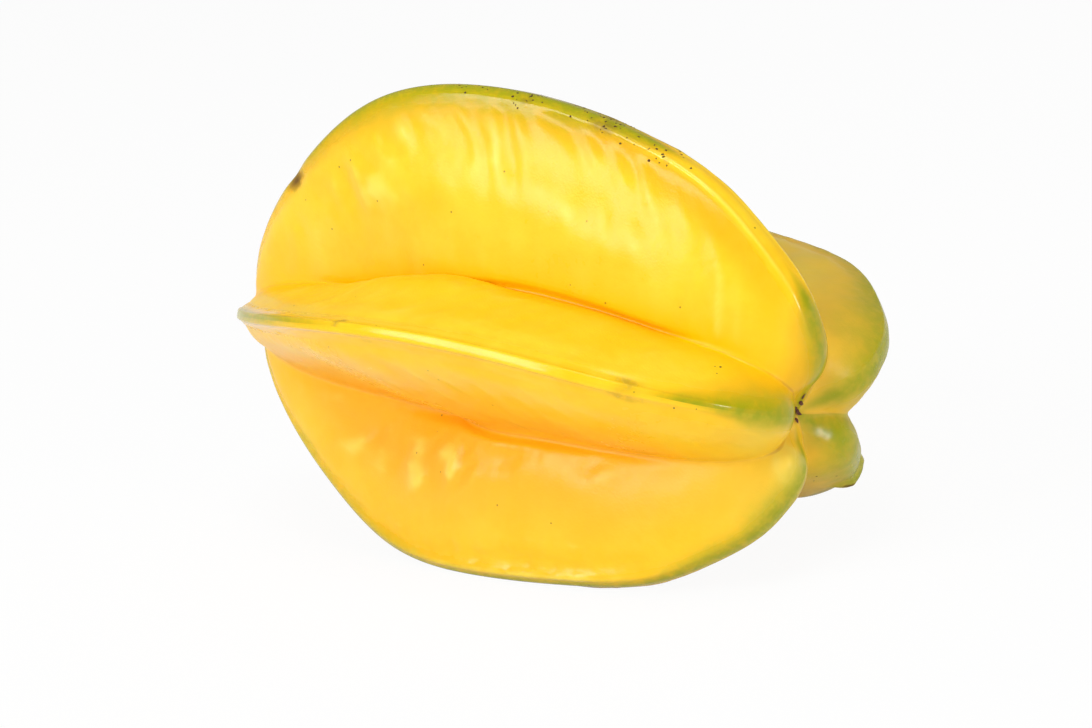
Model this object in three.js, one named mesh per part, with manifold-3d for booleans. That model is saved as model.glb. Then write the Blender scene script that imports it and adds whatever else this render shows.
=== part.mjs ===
// Star fruit (carambola), lying at rest on two of its five ribs.
// Millimetres, +Z up. The core runs along X, with the stem end towards +X.
//
// The berry is one solid. Each of its five ribs is a thin lens standing on the core, with a
// rounded bead along its edge, and neighbouring ribs run together in a soft valley. Every
// surface point is found by going out from one centre inside the core: "polar" is the angle
// away from the stem end (0 at the stem dimple, 180 at the blossom tip) and "around" is the
// angle about the core, measured from straight up towards +Y.

import * as THREE from "three";
import { mergeVertices } from "three/addons/utils/BufferGeometryUtils.js";
import Module from "manifold-3d";

// ---------------------------------------------------------------- driving dimensions

// How far a rib's edge stands from the centre, by polar angle in degrees.
const RIB_REACH = [
  [0, 35.7],
  [10, 40.8],
  [18, 42.2],
  [26, 42.1],
  [36, 40.8],
  [50, 39.5],
  [70, 37.5],
  [90, 38.1],
  [110, 42.0],
  [130, 48.3],
  [150, 54.9],
  [165, 62.4],
  [180, 68.1],
];

// Half-thickness of a rib where it leaves the core.
const RIB_HALF_THICKNESS = [
  [0, 12.1],
  [20, 10.8],
  [45, 10.6],
  [90, 11.2],
  [135, 10.9],
  [165, 10.8],
  [180, 13.4],
];

// Fullness of a rib's side: 1 is a straight wedge, 2 an ellipse, more is plumper.
const RIB_FULLNESS = [
  [0, 2.6],
  [30, 2.3],
  [60, 1.9],
  [90, 1.75],
  [135, 1.75],
  [160, 2.0],
  [180, 2.2],
];

// Radius of the bead along a rib's edge.
const BEAD_RADIUS = [
  [0, 4.1],
  [40, 3.0],
  [90, 2.2],
  [150, 1.8],
  [180, 1.8],
];

// How softly two ribs run together in the valley between them.
const VALLEY_SOFTNESS = [
  [0, 0.9],
  [20, 1.4],
  [50, 2.7],
  [90, 3.6],
  [140, 2.7],
  [180, 1.8],
];

// One entry per rib. around: where its edge leaves the stem end. height: its share of the common
// reach. lean: how much further it reaches on the stem side than on the blossom side. twist: how
// far its edge turns about the core, per unit of cos(polar). girth: its share of the thickness.
const RIBS = [
  { around: -141.7, height: 0.871, lean: 0.061, twist: 1.7, girth: 0.904 },
  { around: -67.7, height: 0.962, lean: 0.021, twist: -0.7, girth: 0.995 },
  { around: -6.4, height: 1.119, lean: -0.025, twist: 2.6, girth: 1.064 },
  { around: 70.4, height: 1.068, lean: 0.063, twist: 2.9, girth: 1.006 },
  { around: 134.0, height: 0.978, lean: -0.018, twist: 1.2, girth: 0.958 },
];

const END_TURN = -5.0; // all five edges turn this much about the core at either end, degrees
const BEAD_INSET = 0.55; // the rib's flank stops this far short of the bead's crest
const BEAD_BLEND = 1.35; // softness of the line under the bead
const STEM_DIP = 4.2; // the stem end lies this many degrees lower than the centre
const REST_FLAT = 0.25; // the two lower edges are flattened to this depth where they rest

// Dried calyx scar, a thin five-armed scale in the stem dimple.
const CALYX_GAP = 0.32; // clearance over the skin
const CALYX_DISC = 1.15; // radius of the round scar
const CALYX_ARM = 2.3; // reach of the dried sepal tips, which lie in the valleys
const CALYX_ARM_WIDTH = 0.26; // angle over which an arm tapers, radians
const CALYX_STUB = 0.9; // thickness at the middle
const CALYX_EDGE = 0.22; // thickness at the rim

// Mesh density.
const ROWS = 48; // from stem dimple to blossom tip
const COLUMNS_PER_RIB = 16;
const EDGE_CROWDING = 1.7; // how strongly the columns gather at a rib's edge
const END_CROWDING = 0.35; // how strongly the rows gather at both ends
const CALYX_RINGS = 5;
const CALYX_COLUMNS = 50;

// ---------------------------------------------------------------- small helpers

const rad = THREE.MathUtils.degToRad;

// Smooth curve through stations [degrees, value], level at both ends (clamped cubic spline).
function curveThrough(stations) {
  const x = stations.map((s) => rad(s[0]));
  const y = stations.map((s) => s[1]);
  const last = x.length - 1;
  const slope = new Array(last + 1).fill(0);
  const diag = new Array(last + 1).fill(1);
  const rhs = new Array(last + 1).fill(0);
  const upper = new Array(last + 1).fill(0);
  for (let i = 1; i < last; i++) {
    const before = 1 / (x[i] - x[i - 1]);
    const after = 1 / (x[i + 1] - x[i]);
    const rise = (y[i] - y[i - 1]) * before ** 2 + (y[i + 1] - y[i]) * after ** 2;
    const share = before / diag[i - 1];
    diag[i] = 2 * (before + after) - share * upper[i - 1];
    rhs[i] = 3 * rise - share * rhs[i - 1];
    upper[i] = after;
  }
  for (let i = last - 1; i > 0; i--) {
    slope[i] = (rhs[i] - upper[i] * slope[i + 1]) / diag[i];
  }
  return (at) => {
    let i = 0;
    while (i < last - 1 && at > x[i + 1]) i++;
    const h = x[i + 1] - x[i];
    const t = (at - x[i]) / h;
    const rise = y[i + 1] - y[i];
    const bend = (1 - t) * (slope[i] * h - rise) - t * (slope[i + 1] * h - rise);
    return y[i] + t * rise + t * (1 - t) * bend;
  };
}

// The larger of two lengths, with the corner between them filled over "soft" millimetres.
function softMax(a, b, soft) {
  const near = Math.max(soft - Math.abs(a - b), 0) / soft;
  return Math.max(a, b) + (near * near * soft) / 4;
}

const reachAt = curveThrough(RIB_REACH);
const halfThicknessAt = curveThrough(RIB_HALF_THICKNESS);
const fullnessAt = curveThrough(RIB_FULLNESS);
const beadAt = curveThrough(BEAD_RADIUS);
const valleyAt = curveThrough(VALLEY_SOFTNESS);

// ---------------------------------------------------------------- the berry's skin

// Angle about the core of a rib's edge at a polar angle.
function edgeAngle(rib, polar) {
  const c = Math.cos(polar);
  return rad(rib.around + rib.twist * c + END_TURN * c * c);
}

// Distance from the centre to the surface of one rib taken alone.
function ribRadius(rib, polar, around) {
  const off = around - edgeAngle(rib, polar);
  const along = Math.cos(polar);
  const up = Math.sin(polar) * Math.cos(off);
  const side = Math.hypot(Math.sin(polar) * Math.sin(off), Math.min(up, 0));
  const inPlane = Math.hypot(along, Math.max(up, 0));
  const angle = Math.atan2(Math.max(up, 0), along);
  const swell = Math.sin(angle);
  const lean = 1 + rib.lean * Math.cos(angle) * swell;
  const reach = reachAt(angle) * (1 + (rib.height - 1) * swell) * lean;
  const half = halfThicknessAt(angle) * rib.girth;
  const power = fullnessAt(angle);
  const flank = ((inPlane / (reach - BEAD_INSET)) ** power + (side / half) ** power) ** (-1 / power);
  const bead = beadAt(angle);
  const seat = reach - bead;
  const square = inPlane * inPlane + side * side;
  const reachOut = inPlane * seat;
  const inside = reachOut * reachOut - square * (seat * seat - bead * bead);
  if (inside <= 0) return flank;
  return softMax(flank, (reachOut + Math.sqrt(inside)) / square, BEAD_BLEND);
}

// Distance from the centre to the skin.
function skinRadius(polar, around) {
  const r = RIBS.map((rib) => ribRadius(rib, polar, around)).sort((a, b) => b - a);
  return softMax(r[0], r[1], valleyAt(polar));
}

// Unit direction for a pair of angles, with the core dipping towards the stem end.
function direction(polar, around) {
  const along = Math.cos(polar);
  const up = Math.sin(polar) * Math.cos(around);
  const side = Math.sin(polar) * Math.sin(around);
  const dip = rad(STEM_DIP);
  return new THREE.Vector3(
    along * Math.cos(dip) + up * Math.sin(dip),
    side,
    up * Math.cos(dip) - along * Math.sin(dip),
  );
}

// Angle of the valley after rib k, where the surfaces of rib k and its neighbour cross.
function valleyAngle(k, polar) {
  const rib = RIBS[k];
  const next = RIBS[(k + 1) % RIBS.length];
  let low = edgeAngle(rib, polar);
  let high = edgeAngle(next, polar) + (k === RIBS.length - 1 ? 2 * Math.PI : 0);
  for (let i = 0; i < 30; i++) {
    const middle = (low + high) / 2;
    if (ribRadius(rib, polar, middle) > ribRadius(next, polar, middle)) low = middle;
    else high = middle;
  }
  return (low + high) / 2;
}

// Column angles for one row: every rib's edge and every valley has a column of its own, and the
// columns even out towards the two ends, where they come close together.
function columnAngles(polar) {
  const valleys = RIBS.map((_, k) => valleyAngle(k, polar));
  const crowd = 1 + (EDGE_CROWDING - 1) * Math.min(1, 2 * Math.sin(polar));
  const angles = [];
  RIBS.forEach((rib, k) => {
    const edge = edgeAngle(rib, polar);
    const before = k === 0 ? valleys[valleys.length - 1] - 2 * Math.PI : valleys[k - 1];
    for (let c = 0; c < COLUMNS_PER_RIB; c++) {
      const v = (2 * c) / COLUMNS_PER_RIB - 1;
      const far = v < 0 ? edge - before : valleys[k] - edge;
      angles.push(edge + Math.sign(v) * Math.abs(v) ** crowd * far);
    }
  });
  return angles;
}

function rowAngle(row) {
  const u = row / ROWS;
  return Math.PI * u - (END_CROWDING / 2) * Math.sin(2 * Math.PI * u);
}

// ---------------------------------------------------------------- mesh building

// Closed surface from a first pole, rings of equal length, and a last pole, wound to face out
// when the rings run from +X to -X and each ring turns from up towards +Y.
function closedSurface(firstPole, rings, lastPole) {
  const points = [firstPole, ...rings.flat(), lastPole];
  const n = rings[0].length;
  const at = (ring, column) => 1 + ring * n + (column % n);
  const faces = [];
  for (let c = 0; c < n; c++) {
    faces.push(0, at(0, c + 1), at(0, c));
    faces.push(points.length - 1, at(rings.length - 1, c), at(rings.length - 1, c + 1));
  }
  for (let r = 0; r < rings.length - 1; r++) {
    for (let c = 0; c < n; c++) {
      const quad = [at(r, c), at(r, c + 1), at(r + 1, c + 1), at(r + 1, c)];
      const one = points[quad[0]].distanceTo(points[quad[2]]);
      const other = points[quad[1]].distanceTo(points[quad[3]]);
      const [p, q, s, t] = one <= other ? quad : [quad[1], quad[2], quad[3], quad[0]];
      faces.push(p, q, s, p, s, t);
    }
  }
  const geometry = new THREE.BufferGeometry().setFromPoints(points);
  geometry.setIndex(faces);
  geometry.computeVertexNormals();
  return geometry;
}

function skinRings() {
  const rings = [];
  for (let row = 1; row < ROWS; row++) {
    const polar = rowAngle(row);
    const ring = columnAngles(polar).map((around) =>
      direction(polar, around).multiplyScalar(skinRadius(polar, around)),
    );
    rings.push(ring);
  }
  return rings;
}

// The centre's place over the floor, so that the base is at z = 0 and the part's box is centred.
function restingPlace(points) {
  const box = new THREE.Box3().setFromPoints(points);
  const middle = box.getCenter(new THREE.Vector3());
  return new THREE.Vector3(-middle.x, -middle.y, -box.min.z - REST_FLAT);
}

function solidOf(geometry) {
  const vertProperties = geometry.getAttribute("position").array;
  const triVerts = new Uint32Array(geometry.index.array);
  return new wasm.Manifold(new wasm.Mesh({ numProp: 3, vertProperties, triVerts }));
}

function geometryOf(solid) {
  const mesh = solid.getMesh();
  const geometry = new THREE.BufferGeometry();
  geometry.setAttribute("position", new THREE.BufferAttribute(mesh.vertProperties, 3));
  geometry.setIndex(new THREE.BufferAttribute(mesh.triVerts, 1));
  geometry.computeVertexNormals();
  return geometry;
}

// The skin with whatever lies below the floor cut away.
function restedOnFloor(geometry) {
  const side = 400;
  const block = new THREE.BoxGeometry(side, side, side).translate(0, 0, -side / 2);
  block.deleteAttribute("normal");
  block.deleteAttribute("uv");
  return geometryOf(solidOf(geometry).subtract(solidOf(mergeVertices(block))));
}

// ---------------------------------------------------------------- the dried calyx

const armAngles = RIBS.map((_, k) => valleyAngle(k, CALYX_ARM / reachAt(0)));

// Reach of the scale in a direction: a round scar with a pointed arm in every valley.
function calyxReach(around) {
  const arms = armAngles.map((arm) => {
    const turn = Math.atan2(Math.sin(around - arm), Math.cos(around - arm));
    return Math.exp(-((turn / CALYX_ARM_WIDTH) ** 2));
  });
  return CALYX_DISC + (CALYX_ARM - CALYX_DISC) * Math.max(...arms);
}

function calyxPoint(share, around, top, centre) {
  const polar = (share * calyxReach(around)) / reachAt(0);
  const body = CALYX_EDGE + (CALYX_STUB - CALYX_EDGE) * (1 - share) ** 1.5;
  const lift = CALYX_GAP + (top ? body : 0);
  return direction(polar, around).multiplyScalar(skinRadius(polar, around) + lift).add(centre);
}

function calyxGeometry(centre) {
  const turns = Array.from({ length: CALYX_COLUMNS }, (_, c) => (2 * Math.PI * c) / CALYX_COLUMNS);
  const ring = (share, top) => turns.map((around) => calyxPoint(share, around, top, centre));
  const shares = Array.from({ length: CALYX_RINGS }, (_, i) => (i + 1) / CALYX_RINGS);
  const upper = shares.map((share) => ring(share, true));
  const lower = shares.map((share) => ring(share, false)).reverse();
  return closedSurface(
    calyxPoint(0, 0, true, centre),
    [...upper, ...lower],
    calyxPoint(0, 0, false, centre),
  );
}

// ---------------------------------------------------------------- assembly

const wasm = await Module();
wasm.setup();

const rings = skinRings();
const stemPole = direction(0, 0).multiplyScalar(skinRadius(0, 0));
const blossomPole = direction(Math.PI, 0).multiplyScalar(skinRadius(Math.PI, 0));
const centre = restingPlace([stemPole, ...rings.flat(), blossomPole]);

const skin = closedSurface(stemPole, rings, blossomPole).translate(centre.x, centre.y, centre.z);

const berry = new THREE.Mesh(
  restedOnFloor(skin),
  new THREE.MeshStandardMaterial({ color: "#f3bf1f", roughness: 0.34, metalness: 0 }),
);
berry.name = "fruit_body";

const calyx = new THREE.Mesh(
  calyxGeometry(centre),
  new THREE.MeshStandardMaterial({ color: "#3d1a10", roughness: 0.8, metalness: 0 }),
);
calyx.name = "calyx_remnant";

const group = new THREE.Group();
group.name = "star_fruit";
group.add(berry, calyx);

export default group;
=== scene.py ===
"""Star fruit: the berry's waxy ribbed skin, the dried calyx in its stem dimple and the corky scabs
along its rib edges, on a plain pale floor.

Sizes are in metres and angles in radians unless a name says otherwise. The skin is laid out as the
solid is: every point goes out from one centre inside the core, at the angle "polar" from the stem
end (0 at the stem dimple, pi at the blossom tip) and "around" about the core (0 straight up,
towards +Y). The core runs along X with the stem end towards +X.
"""

import math
from functools import partial, reduce

import bpy
import numpy as np
from mathutils import Matrix, Vector


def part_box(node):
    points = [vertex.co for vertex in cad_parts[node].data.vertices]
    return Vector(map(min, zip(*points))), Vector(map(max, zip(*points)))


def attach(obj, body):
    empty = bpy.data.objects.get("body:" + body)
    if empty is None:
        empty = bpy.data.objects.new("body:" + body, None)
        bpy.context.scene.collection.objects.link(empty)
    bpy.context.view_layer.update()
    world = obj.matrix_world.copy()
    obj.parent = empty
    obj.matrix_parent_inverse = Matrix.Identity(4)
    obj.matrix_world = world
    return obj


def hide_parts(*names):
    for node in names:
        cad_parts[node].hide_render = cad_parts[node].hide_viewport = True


bl_info = {
    "name": "Star fruit",
    "version": (1, 0, 0),
    "blender": (4, 5, 0),
    "location": "3D View > Sidebar > Star fruit",
    "description": "Builds a ripe star fruit with its calyx and skin marks around a packed frame",
    "category": "Object",
}

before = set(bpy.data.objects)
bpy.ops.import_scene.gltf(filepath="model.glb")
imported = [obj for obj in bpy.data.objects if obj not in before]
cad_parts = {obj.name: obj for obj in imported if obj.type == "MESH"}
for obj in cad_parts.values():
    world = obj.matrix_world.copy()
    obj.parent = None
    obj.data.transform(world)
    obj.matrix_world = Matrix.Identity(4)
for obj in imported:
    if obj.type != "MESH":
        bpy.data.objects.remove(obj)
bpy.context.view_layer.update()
BERRY_NODE = "fruit_body"
CALYX_NODE = "calyx_remnant"
CALYX_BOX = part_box(CALYX_NODE)

MM = 0.001

# ------------------------------------------------------------------ the ribs' common profiles

# Each profile is a smooth curve through [polar degrees, value], level at both ends.
RIB_REACH_MM = [
    (0, 35.7), (10, 40.8), (18, 42.2), (26, 42.1), (36, 40.8), (50, 39.5), (70, 37.5),
    (90, 38.1), (110, 42.0), (130, 48.3), (150, 54.9), (165, 62.4), (180, 68.1),
]
RIB_HALF_THICKNESS_MM = [
    (0, 12.1), (20, 10.8), (45, 10.6), (90, 11.2), (135, 10.9), (165, 10.8), (180, 13.4),
]
RIB_FULLNESS = [(0, 2.6), (30, 2.3), (60, 1.9), (90, 1.75), (135, 1.75), (160, 2.0), (180, 2.2)]
BEAD_RADIUS_MM = [(0, 4.1), (40, 3.0), (90, 2.2), (150, 1.8), (180, 1.8)]
VALLEY_SOFTNESS_MM = [(0, 0.9), (20, 1.4), (50, 2.7), (90, 3.6), (140, 2.7), (180, 1.8)]
# Each rib's profiles, with a value above all of its own, and its unit.
RIB_PROFILES = [
    (RIB_REACH_MM, 80, MM), (RIB_HALF_THICKNESS_MM, 20, MM), (RIB_FULLNESS, 4, 1),
    (BEAD_RADIUS_MM, 20, MM),
]
CURVE_POINTS = 37

# One entry per rib: the angle at which its edge leaves the stem end, its share of the common
# reach, its extra reach on the stem side, the turn of its edge about the core per unit of
# cos(polar), and its share of the thickness. Angles in degrees.
RIBS = [
    {"around": -141.7, "height": 0.871, "lean": 0.061, "twist": 1.7, "girth": 0.904},
    {"around": -67.7, "height": 0.962, "lean": 0.021, "twist": -0.7, "girth": 0.995},
    {"around": -6.4, "height": 1.119, "lean": -0.025, "twist": 2.6, "girth": 1.064},
    {"around": 70.4, "height": 1.068, "lean": 0.063, "twist": 2.9, "girth": 1.006},
    {"around": 134.0, "height": 0.978, "lean": -0.018, "twist": 1.2, "girth": 0.958},
]
LOWER_NEAR, NEAR, TOP, FAR, LOWER_FAR = range(5)
END_TURN_DEG = -5.0

# ------------------------------------------------------------------ how the skin is laid out

# How strongly rows gather at the two ends, and columns at the ribs' edges and valleys.
END_CROWDING = 0.35
EDGE_CROWDING = 1.7
VALLEY_CROWDING = 0.45
TRIAL_COLUMNS = 60
# Typical distance of a rib's edge from the centre, which turns an angle into a length.
EDGE_RADIUS = 45 * MM
# The centre, from which every point of the skin goes out.
CENTRE = (13.022 * MM, -1.792 * MM, 26.307 * MM)
# A smooth maximum fills a sixth of its width at the crossing, where the solid's fills a quarter.
BLEND_MATCH = 1.5

# How unevenly the swellings are spaced, how much steeper they are towards the stem, the share of
# soft lumps among them, and the depth to which they sweep back from the edge.
JITTER = 0.9
SKEW = 0.25
LUMP_SHARE = 8.0
SWEEP_DEPTH = 7.0 * MM
# Lifts a ridge's sides level with its middle, per square metre from the crest.
RIDGE_FLATNESS = 4.0e5
# How far the flanks are drawn in beside a ridge, as a share of its height.
DRAWN_IN = 0.75
# How much the depth under the edge counts in a point's distance from the crest.
CREST_SLOPE = 0.35
# Numbers that set the patterns of flanks, of ribs and of kinds apart.
APART_FLANKS = 3.1
APART_RIBS = 7.3
APART_KINDS = 41.0
# Values of the noise between which a swelling grows, and its share left at the flank's foot.
SWELL_LIMITS = (0.38, 0.62)
FOOT_SHARE = 0.15
# Spots per metre along a rib and down its flank, of the wrinkles and of the dimples.
WRINKLES = (260.0, 900.0, 1.0)
DIMPLES = (430.0, 330.0, 1.0)
# Shares of the hollow's two distances between which it sets in, and between which it ends.
HOLLOW_START = (1.0, 1.9)
HOLLOW_END = (1.0, 0.45)

# Soft limits of the skin's forms: what is measured, and where in millimetres the form has not
# begun and where it is full. crest: distance from the edge's middle line. below: depth under the
# edge. under_bead: the same, less what "deeper" says. valley: distance from the valley line.
BANDS_MM = {
    "ripple_top": ("under_bead", 1.8, 5.0),
    "ripple_foot": ("under_bead", 18.0, 10.0),
    "ripple_valley": ("valley", 1.0, 6.0),
    "off_bead": ("crest", 1.8, 4.0),
    "near_bead": ("crest", 1.0, 2.2),
    "past_bead": ("crest", 7.5, 4.0),
    "shoulder_in": ("crest", 1.0, 1.6),
    "shoulder_out": ("crest", 2.3, 1.7),
    "ridge_side": ("crest", 1.0, 0.5),
    "drawn_in": ("crest", 0.6, 1.8),
    "drawn_out": ("crest", 5.0, 1.6),
    "low_flank": ("below", 6.0, 15.0),
    "past_valley": ("valley", 0.0, 3.0),
    "off_floor": ("below", 0.0, 4.0),
    "off_valley": ("valley", 0.0, 8.0),
}

# Amounts that vary along each rib, with a row for each rib. A row is a steady amount, or stations
# of [polar degrees, amount], or a pair of those for its flanks -1 and +1.
VARYING = {
    # Share of the swellings' full height.
    "ripple": [
        [(0, 0.1), (30, 0.7), (60, 1.0), (150, 0.9), (180, 0.1)],
        [(0, 0.05), (40, 0.2), (90, 0.3), (150, 0.3), (180, 0.1)],
        [(0, 0.1), (20, 0.8), (40, 1.0), (90, 1.0), (120, 1.2), (150, 1.2), (180, 0.3)],
        [(0, 0.1), (40, 0.7), (90, 0.9), (150, 0.6), (180, 0.1)],
        [(0, 0.1), (40, 0.7), (90, 0.9), (150, 0.6), (180, 0.1)],
    ],
    # Width of a swelling, as a share of the usual.
    "ripple_width": [1.3, 1.1, 1.0, 1.0, 1.0],
    # How much deeper than usual the swellings lie on the flank, in millimetres.
    "deeper": [
        (0, [(0, 0), (40, 8), (120, 9), (160, 3), (180, 0)]),
        0, [(0, 0), (120, 0), (150, 2.5), (180, 0)], 0, 0,
    ],
    # Share of the wrinkles' full height.
    "wrinkle": [
        [(0, 0.0), (38, 0.2), (55, 1.0), (122, 1.0), (140, 0.4), (180, 0.0)],
        [(0, 0.0), (40, 0.1), (180, 0.1)],
        [(0, 0.0), (40, 0.05), (120, 0.1), (180, 0.1)],
        [(0, 0.1), (60, 0.5), (180, 0.2)],
        [(0, 0.1), (60, 0.6), (180, 0.2)],
    ],
    # Share of the hollow's full depth.
    "channel": [
        [(0, 0.0), (38, 0.1), (55, 0.8), (64, 1.05), (114, 1.05), (132, 0.3), (180, 0.0)],
        0,
        [(0, 0.0), (20, 0.3), (35, 0.7), (60, 0.9), (80, 0.6), (95, 0.25), (110, 0.0), (180, 0.0)],
        [(0, 0.0), (40, 0.5), (90, 0.4), (150, 0.1), (180, 0.0)],
        [(0, 0.0), (40, 0.3), (90, 0.3), (150, 0.1), (180, 0.0)],
    ],
    # Distance from the crest at which the hollow starts, and at which it ends, in millimetres.
    "hollow_head": [1.9, 1.5, 1.5, 1.5, 1.5],
    "hollow_foot": [6.0, 6.0, [(0, 6.0), (30, 8.5), (50, 8.5), (180, 8.0)], 6.0, 6.0],
    # Share of the shoulder's full height.
    "shoulder": [
        [
            (0, 0.0), (30, 0.2), (55, 0.5), (64, 0.8), (112, 0.8), (125, 0.5), (145, 0.3),
            (180, 0.0),
        ],
        0,
        [(0, 0.0), (20, 0.3), (40, 0.8), (85, 0.7), (110, 0.2), (130, 0.0), (180, 0.0)],
        [(0, 0.0), (30, 0.4), (90, 0.4), (150, 0.2), (180, 0.0)],
        [(0, 0.0), (30, 0.4), (90, 0.4), (150, 0.2), (180, 0.0)],
    ],
    # Share of the narrow ridge's full height.
    "ridge": [
        0, [(0, 0.0), (22, 0.1), (45, 0.8), (60, 1.0), (120, 1.0), (160, 0.7), (180, 0.2)], 0, 0, 0,
    ],
    # How far the lower flank stands out over the valley, in millimetres.
    "fold": [
        (0, [(0, 0.0), (35, 0.2), (60, 0.8), (140, 0.8), (165, 0.0), (180, 0.0)]),
        (0, [
            (0, 0.0), (35, 0.1), (60, 0.5), (100, 0.9), (130, 2.2), (150, 1.2), (168, 0.0),
            (180, 0.0),
        ]),
        ([
            (0, 0.0), (18, 0.2), (32, 1.0), (50, 1.5), (110, 1.3), (140, 0.6), (165, 0.0),
            (180, 0.0),
        ], 0),
        0, 0,
    ],
    # How much of the valley's deeper colour shows: partly the flesh's tone, partly painted shade
    # and warm bounce light.
    "deepness": [1.0, (0.3, 1.0), 1.0, 1.0, 1.0],
    # Share of the painted shade, in orange yellow, on the sides that face the floor.
    "orange": [
        ([(0, 0.4), (90, 0.9), (180, 0.8)], [(0, 0.6), (40, 1.0), (90, 0.95), (180, 1.2)]),
        (
            [(0, 0.5), (40, 0.9), (90, 0.9), (130, 1.5), (180, 1.7)],
            [(0, 0.0), (120, 0.0), (180, 0.2)],
        ),
        0, 0.2, [(0, 0.2), (90, 0.5), (180, 0.4)],
    ],
    # Share of the olive of the stem end; on the far ribs it is partly painted shade of the sides
    # away from the lamps.
    "olive": [
        [(0, 0.4), (20, 0.5), (35, 0.1), (45, 0.0), (180, 0.0)],
        ([(0, 0.4), (18, 0.5), (30, 0.0), (180, 0.0)], [(0, 0.2), (30, 0.0), (180, 0.0)]),
        [(0, 0.4), (12, 0.2), (22, 0.0), (180, 0.0)],
        [(0, 0.7), (50, 0.8), (90, 0.3), (180, 0.0)],
        [(0, 0.7), (50, 0.8), (90, 0.3), (180, 0.0)],
    ],
    # Width of the green band on either side of the crest, in millimetres.
    "green": [
        [
            (0, 0), (8, 1.0), (20, 2.6), (38, 2.5), (52, 1.6), (75, 1.3), (105, 1.4), (130, 2.1),
            (180, 1.9),
        ],
        (
            [
                (0, 0.3), (12, 1.6), (22, 1.4), (34, 0.4), (46, 0.0), (115, 0.0), (130, 0.5),
                (180, 1.0),
            ],
            [
                (0, 0.8), (10, 2.2), (20, 2.9), (30, 1.9), (39, 0.7), (48, 0.1), (112, 0.1),
                (130, 0.8), (180, 1.0),
            ],
        ),
        [
            (0, 1.0), (8, 1.8), (17, 2.4), (26, 0.9), (34, 0.0), (58, 0.2), (78, 2.2), (115, 3.4),
            (145, 1.8), (180, 0.8),
        ],
        [(0, 0.5), (15, 3.2), (28, 5.0), (42, 4.0), (60, 2.2), (90, 2.0), (130, 2.0), (180, 2.0)],
        [(0, 1.0), (15, 5.5), (30, 5.0), (60, 2.8), (90, 2.0), (130, 2.0), (180, 2.0)],
    ],
}

# Marks of the skin: rib, flank (0 for both), polar degrees, millimetres under the edge, half
# length along the rib and half width down it in millimetres, millimetres that it stands proud,
# and how brown it is.
MARKS = [
    (TOP, 0, 153, 0.9, 1.9, 1.5, -0.45, 1.0),
    (TOP, 0, 97, 0.4, 1.6, 0.8, 0.0, 0.5),
    (TOP, 0, 79, 0.4, 3.6, 0.8, 0.1, 0.55),
    (TOP, 0, 63, 0.5, 1.3, 0.5, 0.1, 0.45),
    (NEAR, 1, 117, 0.2, 1.3, 0.6, 0.0, 0.6),
    (NEAR, 0, 110, 0.8, 4.0, 0.7, 0.0, 0.3),
    (NEAR, 0, 47, 0.1, 4.2, 0.6, 0.0, 0.42),
    (LOWER_NEAR, 1, 12.5, -3.4, 2.2, 1.3, 1.1, 0.0),
    (LOWER_FAR, 0, 30, 0.0, 1.3, 1.4, 1.2, 0.0),
    (LOWER_FAR, 1, 29.5, 0.5, 0.5, 0.4, -0.1, 1.3),
]

# Patches of corky scabs: as for the marks up to the half width, then the number per square
# centimetre.
SCAB_PATCHES = [
    (TOP, 0, 109, 0.2, 3.5, 0.9, 40),
    (TOP, 0, 97, 0.3, 2.2, 1.0, 80),
    (TOP, 0, 80, 0.3, 4.5, 0.8, 110),
    (TOP, 0, 64, 0.5, 3.5, 0.8, 50),
    (NEAR, 0, 30, 1.5, 9.0, 3.0, 2),
    (LOWER_FAR, 0, 20, 0.6, 3.0, 2.0, 14),
]
SCAB_SIZE = (0.07 * MM, 0.28 * MM)
SCAB_FLATNESS = 0.35

# The calyx's five dry lobes: angle about the stem dimple in degrees (0 towards +Y, 90 up), then
# in millimetres the length, the width, how far the tip lifts off the skin, and the height of the
# root over the dimple's middle.
SEPALS = [
    (335, 1.6, 0.38, 0.25, 0.9), (322, 1.8, 0.40, 0.3, -0.3), (295, 1.0, 0.28, 0.1, -1.5),
    (80, 1.0, 0.26, 0.1, 1.4), (165, 2.4, 0.32, 0.25, 0.0),
]
SEPAL_STATIONS = 9
SEPAL_SIDES = 10
SEPAL_THICKNESS = 0.3
SEPAL_CLEARANCE = 0.12
SEPAL_WAVE = 0.08
SEPAL_CUP = 0.25
# The calyx sits a little off the middle of the dimple.
CALYX_SHIFT = (0.0, -0.9 * MM, 1.2 * MM)

# ------------------------------------------------------------------ stage sizes

CAMERA_TARGET = (7.06 * MM, -6.09 * MM, 28.67 * MM)
# Azimuth, elevation and roll in degrees.
CAMERA_ANGLES = (40.5, 14.57, -6.36)
CAMERA_DISTANCE = 435 * MM
CAMERA_LENS = 95.6
FLOOR_SIZE = 6.0
# Share of plain white that the floor shows when seen directly, and when seen in a gloss.
FLOOR_WHITE_SHARE = 0.94
FLOOR_GLOSS_SHARE = 0.4
WORLD_STRENGTH = 0.35
# Heights between which the surroundings dim, as shares of straight up.
WORLD_FADE = (0.02, 0.14)
# Name, direction (azimuth, elevation in degrees), distance, width, height, power in watts.
LAMPS = (
    ("left softbox", (-20, 28.5), 0.9, 0.52, 0.32, 4.0),
    ("right softbox", (78, 12), 0.9, 0.14, 0.17, 2.2),
    ("overhead softbox", (42, 72), 1.1, 0.45, 0.45, 4.1),
)

# ------------------------------------------------------------------ helpers

# Short names for kinds of node, with their settings.
KINDS = {
    "NAMED": ("GeometryNodeInputNamedAttribute", {"data_type": "FLOAT"}),
    "STORE": ("GeometryNodeStoreNamedAttribute", {"data_type": "FLOAT", "domain": "POINT"}),
    "PLACE": ("GeometryNodeSetPosition", {}),
    "VECTOR": ("ShaderNodeCombineXYZ", {}),
    "STEP": ("ShaderNodeMapRange", {"interpolation_type": "SMOOTHSTEP"}),
    "MIX": ("ShaderNodeMix", {"data_type": "RGBA"}),
    "NOISE": ("ShaderNodeTexNoise", {}),
    "RANDOM": ("FunctionNodeRandomValue", {"data_type": "FLOAT_VECTOR"}),
}
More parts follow.
